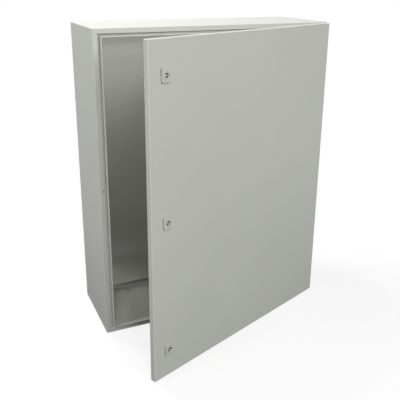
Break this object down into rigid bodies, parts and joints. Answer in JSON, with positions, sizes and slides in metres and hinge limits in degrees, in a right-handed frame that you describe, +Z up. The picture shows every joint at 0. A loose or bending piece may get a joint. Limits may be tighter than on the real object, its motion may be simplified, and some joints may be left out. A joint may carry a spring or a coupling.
{
  "type": "steel wall enclosure",
  "caption": "Folded sheet-steel wall enclosure: hinged door standing ajar, front frame with rain channel, quarter-turn locks and an inner mounting plate.",
  "frame": {"origin": "centre of the four wall holes, on the outer face of the rear panel", "axes": "+Z up, +Y from the cabinet towards the wall, +X to the right of someone facing the door"},
  "size_m": [0.8, 0.5872, 1],
  "materials": {
    "body_paint": "light grey textured powder coat",
    "lock_paint": "light grey powder coat on die-cast zinc",
    "galvanised_sheet": "hot-dip galvanised steel, dull spangle",
    "zinc_plate": "bright zinc plating",
    "nickel": "nickel-plated die casting",
    "foam": "foamed polyurethane, matt"
  },
  "bodies": {
    "cabinet": {"body_shell": "body_paint", "rear_panel": "body_paint", "plate_studs": "zinc_plate", "plate_spacers": "zinc_plate", "mounting_plate": "galvanised_sheet", "plate_washers": "zinc_plate", "plate_nuts": "zinc_plate", "gland_seal": "foam", "gland_plate": "body_paint", "gland_studs": "zinc_plate", "gland_nuts": "zinc_plate", "earth_stud": "zinc_plate", "earth_nut": "zinc_plate", "hinge_screws": "zinc_plate", "hinge_rivet_nuts": "zinc_plate", "hinge_foot_lower": "zinc_plate", "hinge_foot_middle": "zinc_plate", "hinge_foot_upper": "zinc_plate"},
    "door": {"door_panel": "body_paint", "door_gasket": "foam", "door_rail_left": "body_paint", "door_rail_right": "body_paint", "hinge_clips": "zinc_plate", "bracket_studs": "zinc_plate", "bracket_nuts": "zinc_plate", "door_earth_stud": "zinc_plate", "door_earth_nut": "zinc_plate", "lock_seals": "foam", "lock_nuts": "zinc_plate", "hinge_bracket_lower": "zinc_plate", "hinge_bracket_middle": "zinc_plate", "hinge_bracket_upper": "zinc_plate", "hinge_pin_lower": "zinc_plate", "hinge_pin_middle": "zinc_plate", "hinge_pin_upper": "zinc_plate", "lock_housing_lower": "lock_paint", "lock_housing_middle": "lock_paint", "lock_housing_upper": "lock_paint"},
    "lock_lower": {"lock_insert_lower": "nickel", "lock_cam_lower": "zinc_plate", "cam_screw_lower": "zinc_plate"},
    "lock_middle": {"lock_insert_middle": "nickel", "lock_cam_middle": "zinc_plate", "cam_screw_middle": "zinc_plate"},
    "lock_upper": {"lock_insert_upper": "nickel", "lock_cam_upper": "zinc_plate", "cam_screw_upper": "zinc_plate"}
  },
  "joints": [
    {"name": "door_hinge", "type": "hinge", "parent": "cabinet", "child": "door", "pos_m": [0.39, -0.293, 0], "axis": [0, 0, 1], "range_deg": [-21.5, 98.5]},
    {"name": "lock_turn_lower", "type": "hinge", "parent": "door", "child": "lock_lower", "pos_m": [-0.2885, -0.56779, -0.405], "axis": [0.3665, -0.9304, 0], "range_deg": [0, 90]},
    {"name": "lock_turn_middle", "type": "hinge", "parent": "door", "child": "lock_middle", "pos_m": [-0.2885, -0.56779, 0], "axis": [0.3665, -0.9304, 0], "range_deg": [0, 90]},
    {"name": "lock_turn_upper", "type": "hinge", "parent": "door", "child": "lock_upper", "pos_m": [-0.2885, -0.56779, 0.405], "axis": [0.3665, -0.9304, 0], "range_deg": [0, 90]}
  ]
}
